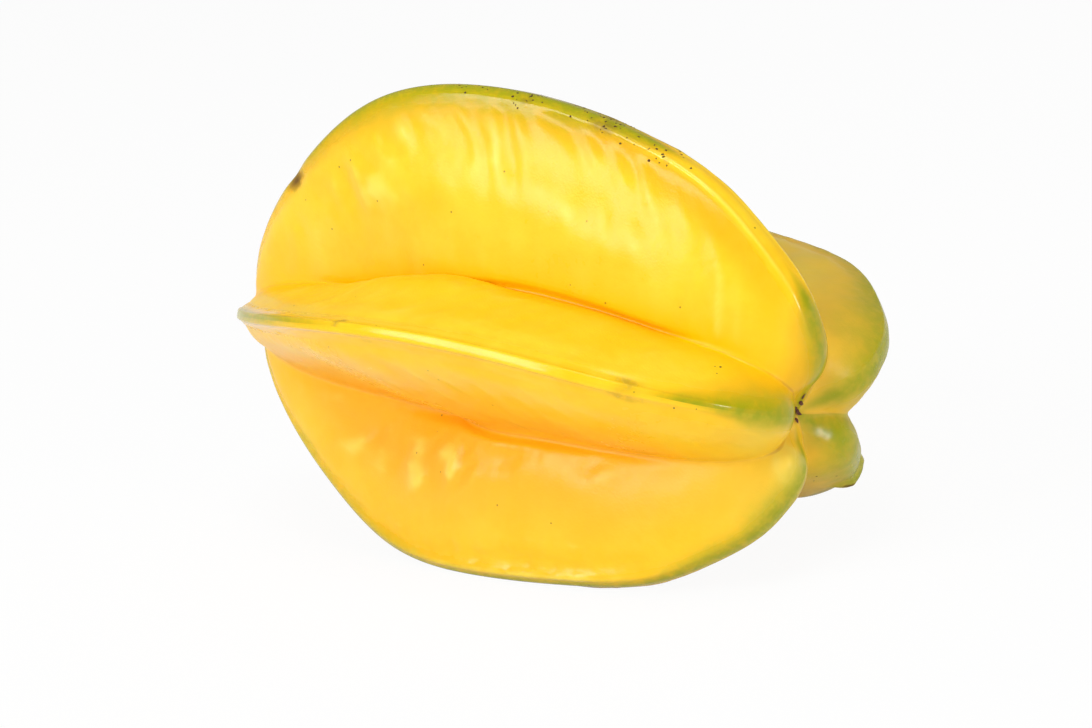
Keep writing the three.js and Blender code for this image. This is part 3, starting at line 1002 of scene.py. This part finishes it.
def calyx_mesh(skin, middle):
    """Five thin dry lobes that start at the dimple's middle and lie on the skin."""
    points, faces = [], []
    sides = range(SEPAL_SIDES)
    for degrees, length_mm, width_mm, lift, height in SEPALS:
        angle = math.radians(degrees)
        out = Vector((0, math.cos(angle), math.sin(angle)))
        across = Vector((0, -math.sin(angle), math.cos(angle)))
        base = len(points)
        for i in range(SEPAL_STATIONS):
            t = i / (SEPAL_STATIONS - 1)
            # Blunt at the root, widest before the middle and narrow at the tip.
            half = width_mm * (math.sin(math.pi * (0.12 + 0.88 * t)) ** 0.7) * (1 - 0.25 * t)
            seat = middle + (out * length_mm * t + Vector((0, 0, height))) * MM
            from_outside = Vector((middle.x + 30 * MM, seat.y, seat.z))
            hit, place = skin.ray_cast(from_outside, Vector((-1, 0, 0)))[:2]
            if hit:
                seat.x = place.x
            rise = SEPAL_CLEARANCE + lift * t * t + SEPAL_WAVE * math.sin(5 * t + angle)
            for k in sides:
                a = 2 * math.pi * k / SEPAL_SIDES
                wide = half * math.cos(a)
                up = rise + SEPAL_THICKNESS * half * math.sin(a) + SEPAL_CUP * wide**2 / width_mm
                points.append(seat + across * wide * MM + Vector((up * MM, 0, 0)))
        rings = [base + i * SEPAL_SIDES for i in range(SEPAL_STATIONS)]
        for ring in rings[:-1]:
            for k in sides:
                a = ring + k
                b = ring + (k + 1) % SEPAL_SIDES
                faces.append((a, b, b + SEPAL_SIDES, a + SEPAL_SIDES))
        faces.append([rings[0] + k for k in reversed(sides)])
        faces.append([rings[-1] + k for k in sides])
    mesh = bpy.data.meshes.new("dry_calyx")
    mesh.from_pydata(points, [], faces)
    mesh.polygons.foreach_set("use_smooth", [True] * len(mesh.polygons))
    return mesh


class STAR_FRUIT_OT_calyx(bpy.types.Operator):
    """Build the dried calyx in the stem dimple; needs the skin"""

    bl_idname = "star_fruit.calyx"
    bl_label = "Calyx"

    def execute(self, context):
        low, high = CALYX_BOX
        middle = (Vector(low) + Vector(high)) / 2 + Vector(CALYX_SHIFT)
        mesh = calyx_mesh(bpy.data.objects["star_fruit_skin"], middle)
        calyx = bpy.data.objects.new("dry_calyx", mesh)
        context.scene.collection.objects.link(calyx)
        material = calyx_material(context.scene.star_fruit.colours)
        finish_piece(calyx, CALYX_NODE, material)
        return {"FINISHED"}


# ------------------------------------------------------------------ materials

# Soft limits of the skin's colours, as for its forms. relief: how far the skin stands out from
# the plain rib.
COLOUR_BANDS_MM = {
    "peach": ("below", 2.0, 18.0),
    "valley_flesh_and_shade": ("valley", 12.5, 0.5),
    "sunken_shade": ("relief", 0.1, -0.3),
    "raised": ("relief", 0.0, 0.4),
    "crease": ("valley", 0.5, 0.0),
    "stem_crease": ("valley", 0.5, 0.1),
    "bead": ("crest", 3.2, 1.6),
}
# How strongly a colour shows where it is full.
COVER = {
    "sunken_shade": 0.3, "channel": 0.6, "raised": 0.5, "crease": 0.25, "stem_crease": 0.6,
    "gold": 0.5, "pore": 0.75,
}
# Soft limits of noise and of shares, where the colour has not begun and where it is full.
LIMITS = {
    "pale": (0.45, 0.9), "sunny": (0.5, 0.0), "channel": (0.2, 1.0), "broken": (0.35, 0.65),
    "olive": (0.3, 0.7), "shown": (0.0, 1.2), "gold": (2.6, 1.0), "green": (1.7, 0.0),
    "mottled": (0.25, 0.65), "healed": (0.15, 0.6), "pore": (0.075, 0.035),
}
# Polar angles in degrees between which the creases turn brown towards the stem.
STEM_END = (22, 9)
# Spots per metre, detail and, where it isn't the usual, roughness of the uneven colour: soft
# blotches of 8 mm, finer ones of 1.6 mm and the skin's own grain of 0.35 mm.
BLOTCHES = (125.0, 2.0)
FINE = (620.0, 2.0, 0.6)
GRAIN = (2800.0, 2.0)
# The same of the calyx's wrinkles, 0.6 mm, and of the cork's and the paper's patches, 1.1 mm.
CALYX_WRINKLES = (1800.0, 3.0, 0.6)
CORK_PATCHES = (900.0, 2.0, 0.6)
PAPER_FIBRES = (900.0, 2.0)
# Pores are 0.25 mm wide, in cells of 3 mm; most cells have none.
PORES_PER_METRE = 330.0
PORE_RARITY = 0.62
# Plant skins, cork and wax all bend light about as much.
ORGANIC_IOR = 1.45


def new_material(name):
    """A material; also the function that adds its nodes, and a point's place in the object."""
    material = bpy.data.materials.new(name)
    material.use_nodes = True
    material.node_tree.nodes.clear()
    add = partial(add_node, material.node_tree)
    return material, add, add("ShaderNodeTexCoord").node.outputs["Object"]


def skin_material(colours):
    """Ripe star fruit skin: thin, waxy and a little see-through over wet yellow flesh, so light
    spreads under it and the ribs glow at their thin edges. The wax gives a soft broad gloss."""
    material, add, place = new_material("waxy star fruit skin")

    def over(tone, *shares):
        """Lays a tone over the skin's colour so far, by the product of some shares."""
        return add("MIX", product(add, *shares), colour, tone)

    names = (
        "crest", "valley", "below", "relief", "hollow", "scar", "polar", "orange", "olive",
        "green", "deepness",
    )
    at = {
        name: add("ShaderNodeAttribute", attribute_name=name).node.outputs["Fac"]
        for name in names
    }
    band = soft_bands(add, at, COLOUR_BANDS_MM)
    blotch = add("NOISE", place, *BLOTCHES)
    fine = add("NOISE", place, *FINE)

    # Golden flanks with paler patches, and painted shade in orange yellow on the sides that face
    # the floor.
    pale = add("STEP", add("MULTIPLY_ADD", fine, 0.35, blotch), *LIMITS["pale"])
    colour = add("MIX", pale, colours.flank, colours.flank_pale)
    peach = add("MULTIPLY_ADD", band["peach"], 0.85, 0.15)
    peach = add("MINIMUM", add("MULTIPLY", at["orange"], peach), 1.0)
    colour = over(colours.peach, peach)
    # Deeper in the valleys, partly where the flesh shows through and partly painted shade and warm
    # bounce light in the creases.
    low = add("MIX", peach, colours.valley, colours.low_valley)
    colour = over(low, band["valley_flesh_and_shade"], at["deepness"])
    # Painted shade: the sunken parts of the relief are darkened towards the valley colour.
    colour = over(low, band["sunken_shade"], COVER["sunken_shade"])
    # The hollow under the bead is a browner gold, partly the skin's tone and partly painted shade,
    # but not on the sides painted in underside shade.
    sunny = add("STEP", at["orange"], *LIMITS["sunny"])
    channel = add("STEP", at["hollow"], *LIMITS["channel"])
    colour = over(colours.channel, channel, COVER["channel"], sunny)
    # Painted highlight: the raised crests of the swellings are lightened.
    colour = over(colours.rim, band["raised"], COVER["raised"])
    # A thin line of painted shade lies where two ribs meet; near the stem it is browner and broken,
    # partly real brown skin and partly painted shade.
    colour = over(colours.crease, band["crease"], COVER["crease"])
    stem_end = add("STEP", at["polar"], *(math.radians(angle) for angle in STEM_END))
    broken = add("STEP", blotch, *LIMITS["broken"])
    shares = (band["stem_crease"], stem_end, broken, COVER["stem_crease"])
    colour = over(colours.stem_line, *shares)
    # The stem end stays olive; on the far ribs the duller olive yellow is partly their own tone and
    # partly painted shade of the sides away from the lamps.
    olive = add("MULTIPLY_ADD", add("STEP", blotch, *LIMITS["olive"]), 0.3, 0.75)
    colour = over(colours.shoulder, at["olive"], olive)

    # Green runs along the edges in a band that frays at its lower side, with a browner gold
    # between it and the flank, partly the skin's tone and partly painted shade.
    fray = add("MULTIPLY_ADD", add("SUBTRACT", blotch, 0.5), 1.2, 1.0)
    reach = add("ADD", product(add, at["green"], MM, fray), 0.1 * MM)
    depth = add("DIVIDE", at["crest"], reach)
    shown = add("STEP", at["green"], *LIMITS["shown"])
    gold = add("STEP", depth, *LIMITS["gold"])
    colour = over(colours.channel, gold, shown, sunny, COVER["gold"])
    mottled = add("MULTIPLY_ADD", add("STEP", fine, *LIMITS["mottled"]), 0.25, 0.65)
    colour = over(colours.green, add("STEP", depth, *LIMITS["green"]), shown, mottled)

    # Brown healed scars with a ragged border, and the pores.
    ragged = add("MULTIPLY", add("SUBTRACT", fine, 0.5), at["scar"])
    ragged = add("MULTIPLY_ADD", ragged, 2.0, at["scar"])
    healed = add("MULTIPLY", add("STEP", ragged, *LIMITS["healed"]), at["scar"])
    colour = over(colours.scar, healed)
    cells = add("ShaderNodeTexVoronoi", place, PORES_PER_METRE).node.outputs
    near = add("STEP", cells["Distance"], *LIMITS["pore"])
    chosen = add("ShaderNodeSeparateColor", cells["Color"])
    pore = product(add, near, add("GREATER_THAN", chosen, PORE_RARITY), COVER["pore"])
    colour = over(colours.pore, pore)

    # Wax: smoother over the bead, duller where the skin is olive or scarred.
    rough = add("MULTIPLY_ADD", fine, 0.12, 0.28)
    rough = add("MULTIPLY_ADD", band["bead"], -0.17, rough)
    rough = add("MULTIPLY_ADD", at["olive"], 0.12, rough)
    rough = add("MULTIPLY_ADD", healed, 0.5, rough)
    # The skin's grain and pores are too fine to model; the bead has less of them.
    height = add("MULTIPLY_ADD", fine, 0.6, add("NOISE", place, *GRAIN))
    height = add("MULTIPLY_ADD", pore, -1.0, height)
    height = add("MULTIPLY", height, add("MULTIPLY_ADD", band["bead"], -0.7, 1.0))
    bump = add("ShaderNodeBump", Strength=0.35, Distance=0.09 * MM, Height=height)
    shader = add(
        "ShaderNodeBsdfPrincipled", Base_Color=colour, Roughness=rough, Normal=bump,
        IOR=ORGANIC_IOR, Specular_IOR_Level=0.33, Subsurface_Weight=0.2,
        Subsurface_Radius=(1.0, 0.7, 0.12), Subsurface_Scale=1.8 * MM,
    )
    add("ShaderNodeOutputMaterial", shader)
    return material


def calyx_material(colours):
    """Dried calyx: papery maroon brown and matt, with fine wrinkles and paler worn patches."""
    material, add, place = new_material("dried calyx")
    wrinkles = add("NOISE", place, *CALYX_WRINKLES)
    shader = add(
        "ShaderNodeBsdfPrincipled", Roughness=0.75, IOR=ORGANIC_IOR,
        Base_Color=add("MIX", wrinkles, colours.calyx, colours.calyx_pale),
        Normal=add("ShaderNodeBump", Strength=0.6, Distance=0.12 * MM, Height=wrinkles),
    )
    add("ShaderNodeOutputMaterial", shader)
    return material


def scab_material(colours):
    """Cork: dry dark brown grains with no gloss."""
    material, add, place = new_material("brown cork")
    patches = add("NOISE", place, *CORK_PATCHES)
    shader = add(
        "ShaderNodeBsdfPrincipled", Roughness=0.8, IOR=ORGANIC_IOR,
        Base_Color=add("MIX", patches, colours.calyx, colours.scar),
    )
    add("ShaderNodeOutputMaterial", shader)
    return material


def floor_material(colours):
    """Matt white paper sweep. Seen directly and in gloss it is nearly white; it keeps shadows."""
    material, add, place = new_material("white paper sweep")
    share = add("MULTIPLY", add("NOISE", place, *PAPER_FIBRES), 0.02)
    matt = add("ShaderNodeBsdfDiffuse", add("MIX", share, colours.floor, colours.floor_fibre))
    white = add("ShaderNodeEmission", hex_rgb("#FFFFFF"), 1.0)
    rays = add("ShaderNodeLightPath").node.outputs
    seen = add("MAXIMUM", rays["Is Camera Ray"], rays["Is Transmission Ray"])
    seen = add("MULTIPLY", seen, FLOOR_WHITE_SHARE)
    in_gloss = add("MULTIPLY", rays["Is Glossy Ray"], FLOOR_GLOSS_SHARE)
    shader = add("ShaderNodeMixShader", add("MAXIMUM", seen, in_gloss), matt, white)
    add("ShaderNodeOutputMaterial", shader)
    return material


# ------------------------------------------------------------------ stage


def soft_lamp(name, towards, distance, width, height, power):
    """A soft white lamp at a direction (azimuth, elevation in degrees) from the fruit, facing
    it."""
    azimuth, elevation = (math.radians(a) for a in towards)
    level = math.cos(elevation)
    out = Vector((math.sin(azimuth) * level, -math.cos(azimuth) * level, math.sin(elevation)))
    lamp = bpy.data.lights.new(name, "AREA")
    lamp.shape = "RECTANGLE"
    lamp.size = width
    lamp.size_y = height
    lamp.energy = power
    holder = bpy.data.objects.new(name, lamp)
    holder.location = Vector(CAMERA_TARGET) + out * distance
    holder.rotation_euler = out.to_track_quat("Z", "Y").to_euler()
    bpy.context.scene.collection.objects.link(holder)


class STAR_FRUIT_OT_stage(bpy.types.Operator):
    """Build the floor, the lamps, the pale surroundings and the camera"""

    bl_idname = "star_fruit.stage"
    bl_label = "Stage"

    def execute(self, context):
        scene = context.scene
        mesh = bpy.data.meshes.new("floor")
        half = FLOOR_SIZE / 2
        corners = [(-half, -half, 0), (half, -half, 0), (half, half, 0), (-half, half, 0)]
        mesh.from_pydata(corners, [], [(0, 1, 2, 3)])
        mesh.materials.append(floor_material(scene.star_fruit.colours))
        floor = bpy.data.objects.new("floor", mesh)
        scene.collection.objects.link(floor)

        # White behind the floor's far edge, and dimmer overhead.
        world = bpy.data.worlds.new("pale surroundings")
        world.use_nodes = True
        scene.world = world
        background = world.node_tree.nodes["Background"]
        background.inputs["Color"].default_value = hex_rgb("#FFFFFF")
        add = partial(add_node, world.node_tree)
        direction = add("ShaderNodeTexCoord").node.outputs["Generated"]
        up = add("ShaderNodeSeparateXYZ", direction).node.outputs["Z"]
        strength = add("STEP", up, *WORLD_FADE, 1.0, WORLD_STRENGTH)
        world.node_tree.links.new(strength, background.inputs["Strength"])
        for lamp in LAMPS:
            soft_lamp(*lamp)

        camera = bpy.data.cameras.new("camera")
        camera.sensor_width = 36.0
        camera.lens = CAMERA_LENS
        camera.clip_end = 50.0
        holder = bpy.data.objects.new("camera", camera)
        azimuth, elevation, roll = (math.radians(a) for a in CAMERA_ANGLES)
        turn = (
            Matrix.Rotation(azimuth, 4, "Z")
            @ Matrix.Rotation(math.pi / 2 - elevation, 4, "X")
            @ Matrix.Rotation(roll, 4, "Z")
        )
        back = turn @ Vector((0, 0, CAMERA_DISTANCE))
        holder.matrix_world = Matrix.Translation(Vector(CAMERA_TARGET) + back) @ turn
        scene.collection.objects.link(holder)
        scene.camera = holder
        scene.view_settings.view_transform = "Standard"
        return {"FINISHED"}


# ------------------------------------------------------------------ panel and registration


OPERATORS = (
    STAR_FRUIT_OT_skin, STAR_FRUIT_OT_scabs, STAR_FRUIT_OT_calyx, STAR_FRUIT_OT_stage,
)


class VIEW3D_PT_star_fruit(bpy.types.Panel):
    """Sizes, colours and pieces of the star fruit"""

    bl_label = "Star fruit"
    bl_space_type = "VIEW_3D"
    bl_region_type = "UI"
    bl_category = "Star fruit"

    def draw(self, context):
        settings = context.scene.star_fruit
        for group in (settings.sizes, settings.colours):
            box = self.layout.box()
            for name in group.bl_rna.properties.keys():
                if name not in ("rna_type", "name"):
                    box.prop(group, name)
        for operator in OPERATORS:
            self.layout.operator(operator.bl_idname)


CLASSES = (StarFruitSizes, StarFruitColours, StarFruitSettings, *OPERATORS, VIEW3D_PT_star_fruit)


def register():
    for cls in CLASSES:
        bpy.utils.register_class(cls)
    bpy.types.Scene.star_fruit = bpy.props.PointerProperty(type=StarFruitSettings)


def unregister():
    del bpy.types.Scene.star_fruit
    for cls in reversed(CLASSES):
        bpy.utils.unregister_class(cls)


def main():
    register()
    bpy.ops.star_fruit.skin()
    bpy.ops.star_fruit.scabs()
    bpy.ops.star_fruit.calyx()
    bpy.ops.star_fruit.stage()


if __name__ == "__main__":
    main()
